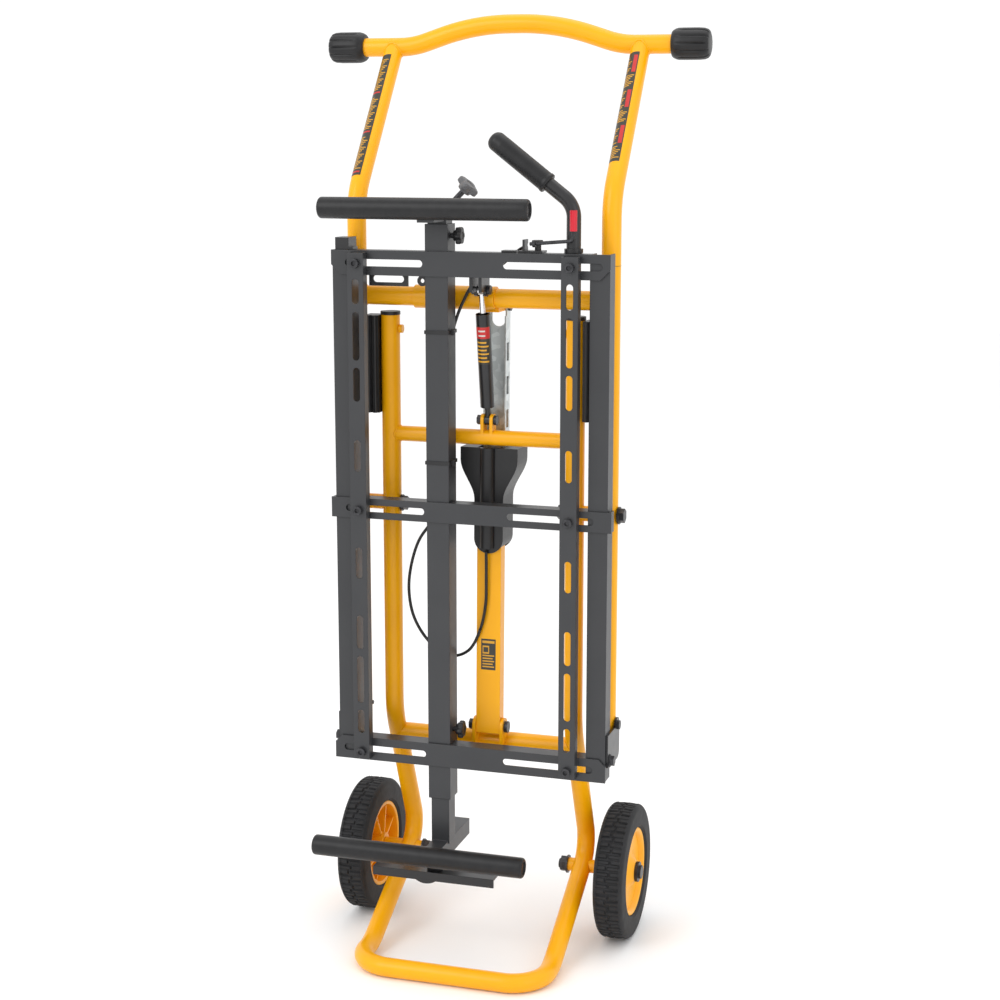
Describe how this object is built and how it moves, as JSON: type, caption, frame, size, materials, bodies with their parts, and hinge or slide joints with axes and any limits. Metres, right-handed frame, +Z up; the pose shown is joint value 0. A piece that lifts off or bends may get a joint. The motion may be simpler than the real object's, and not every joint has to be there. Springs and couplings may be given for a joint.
{
  "type": "drywall lift",
  "caption": "Wheeled drywall lift folded upright: leg frame with skid loop, tilting handle frame, slotted panel frame, mast with padded rests, strut and gas spring.",
  "frame": {"origin": "on the floor, in the middle of the outline seen from above", "axes": "+X to the right, +Y to the back where the wheels and the handle are, +Z up"},
  "size_m": [0.572, 0.382, 1.3465],
  "materials": {
    "yellow_paint": "glossy powder coat",
    "dark_paint": "satin powder coat",
    "black_paint": "satin",
    "black_steel": "black oxide",
    "black_plastic": "satin moulded",
    "rubber": "matte",
    "tyre": "matte",
    "galvanised": "galvanised",
    "rod_chrome": "polished",
    "red_plastic": "gloss",
    "yellow_plastic": "satin moulded",
    "grey_plastic": "satin"
  },
  "bodies": {
    "leg_frame": {"leg_left": "yellow_paint", "leg_right": "yellow_paint", "skid_loop": "yellow_paint", "crossbar_mid": "yellow_paint", "crossbar_low": "yellow_paint", "leg_end_caps": "black_plastic", "guide_blocks": "black_plastic", "guide_rivets": "yellow_paint", "axle_bolts": "black_steel", "axle_spacers": "yellow_paint", "pivot_bolts": "black_steel", "pivot_spacers": "yellow_paint", "base_pins": "black_steel"},
    "wheel_left": {"tyre_left": "tyre", "rim_left": "yellow_plastic"},
    "wheel_right": {"tyre_right": "tyre", "rim_right": "yellow_plastic"},
    "handle_frame": {"arm_left": "yellow_paint", "arm_right": "yellow_paint", "handle_tubes": "yellow_paint", "handle_bar": "yellow_paint", "handle_caps": "rubber", "arm_crossbar": "yellow_paint", "crossbar_sleeve": "yellow_paint", "foot_brackets": "black_paint", "foot_bolts": "black_steel", "channel_pin": "black_steel"},
    "panel_frame": {"post_left": "dark_paint", "post_right": "dark_paint", "beam_top": "dark_paint", "beam_mid": "dark_paint", "beam_low": "dark_paint", "mast": "dark_paint", "cable_ties": "black_plastic", "panel_fittings": "black_paint", "spring_ears": "black_paint", "latch_bracket": "black_paint", "tilt_handle": "black_paint", "tilt_grip": "rubber", "spring_pin": "black_steel", "cable": "rubber"},
    "upper_knob": {"knob_upper": "black_plastic"},
    "lower_knob": {"knob_lower": "black_plastic"},
    "pad_knob": {"knob_pad": "grey_plastic"},
    "upper_rest": {"upper_pad_post": "dark_paint", "upper_pad": "rubber"},
    "lower_rest": {"lower_pad_post": "dark_paint", "lower_ledge": "black_paint", "lower_pad": "rubber"},
    "left_bar": {"bar_left": "dark_paint", "bar_left_bolts": "black_steel"},
    "right_bar": {"bar_right": "dark_paint", "bar_right_bolts": "black_steel"},
    "release_lever": {"release_rod": "black_steel", "release_sleeve": "red_plastic"},
    "strut": {"strut_tube": "yellow_paint", "strut_cover": "black_plastic"},
    "strut_slide": {"strut_channel": "galvanised"},
    "spring_body": {"gas_cylinder": "black_paint"},
    "spring_rod": {"gas_rod": "rod_chrome"}
  },
  "joints": [
    {"name": "wheel_left_spin", "type": "hinge", "parent": "leg_frame", "child": "wheel_left", "pos_m": [-0.198, 0.0655, 0.1], "axis": [1, 0, 0], "continuous": true},
    {"name": "wheel_right_spin", "type": "hinge", "parent": "leg_frame", "child": "wheel_right", "pos_m": [0.198, 0.0655, 0.1], "axis": [1, 0, 0], "continuous": true},
    {"name": "handle_tilt", "type": "hinge", "parent": "leg_frame", "child": "handle_frame", "pos_m": [0, 0.0035, 0.651], "axis": [-1, 0, 0], "range_deg": [0, 28]},
    {"name": "panel_tilt", "type": "hinge", "parent": "handle_frame", "child": "panel_frame", "pos_m": [0, -0.0425, 0.306], "axis": [1, 0, 0], "range_deg": [0, 14.2]},
    {"name": "upper_rest_slide", "type": "slide", "parent": "panel_frame", "child": "upper_rest", "axis": [0, 0, 1], "range_m": [0, 0.2]},
    {"name": "lower_rest_slide", "type": "slide", "parent": "panel_frame", "child": "lower_rest", "axis": [0, 0, 1], "range_m": [-0.06, 0.06]},
    {"name": "left_bar_slide", "type": "slide", "parent": "panel_frame", "child": "left_bar", "axis": [1, 0, 0], "range_m": [-0.004, 0.088]},
    {"name": "right_bar_slide", "type": "slide", "parent": "panel_frame", "child": "right_bar", "axis": [1, 0, 0], "range_m": [-0.087, 0.015]},
    {"name": "upper_knob_turn", "type": "hinge", "parent": "panel_frame", "child": "upper_knob", "pos_m": [-0.03, -0.041, 1.04], "axis": [1, 0, 0], "continuous": true},
    {"name": "lower_knob_turn", "type": "hinge", "parent": "panel_frame", "child": "lower_knob", "pos_m": [-0.03, -0.041, 0.331], "axis": [1, 0, 0], "continuous": true},
    {"name": "pad_knob_turn", "type": "hinge", "parent": "upper_rest", "child": "pad_knob", "pos_m": [-0.029, -0.041, 1.084], "axis": [0.7071, 0, 0.7071], "continuous": true},
    {"name": "release_pull", "type": "hinge", "parent": "panel_frame", "child": "release_lever", "pos_m": [0.086, -0.0515, 1.031], "axis": [0, 1, 0], "range_deg": [0, 8], "stiffness_Nm_per_rad": 0.6, "springref_deg": -5.73},
    {"name": "strut_swing", "type": "hinge", "parent": "leg_frame", "child": "strut", "pos_m": [0, 0.0035, 0.326], "axis": [-1, 0, 0], "range_deg": [0, 13.1]},
    {"name": "strut_slide_swing", "type": "hinge", "parent": "handle_frame", "child": "strut_slide", "pos_m": [0, 0.04151, 0.93721], "axis": [1, 0, 0], "range_deg": [0, 15]},
    {"name": "spring_body_swing", "type": "hinge", "parent": "leg_frame", "child": "spring_body", "pos_m": [0, 0.0035, 0.778], "axis": [-1, 0, 0], "range_deg": [0, 1.3]},
    {"name": "spring_rod_swing", "type": "hinge", "parent": "panel_frame", "child": "spring_rod", "pos_m": [0, -0.0265, 0.965], "axis": [1, 0, 0], "range_deg": [0, 12.8]}
  ],
  "couplings": [
    {"joint": "panel_tilt", "follows": "handle_tilt", "ratio": 0.5},
    {"joint": "strut_swing", "follows": "handle_tilt", "ratio": 0.4666},
    {"joint": "strut_slide_swing", "follows": "handle_tilt", "ratio": 0.5334},
    {"joint": "spring_body_swing", "follows": "handle_tilt", "ratio": 0.0456},
    {"joint": "spring_rod_swing", "follows": "handle_tilt", "ratio": 0.4544}
  ]
}
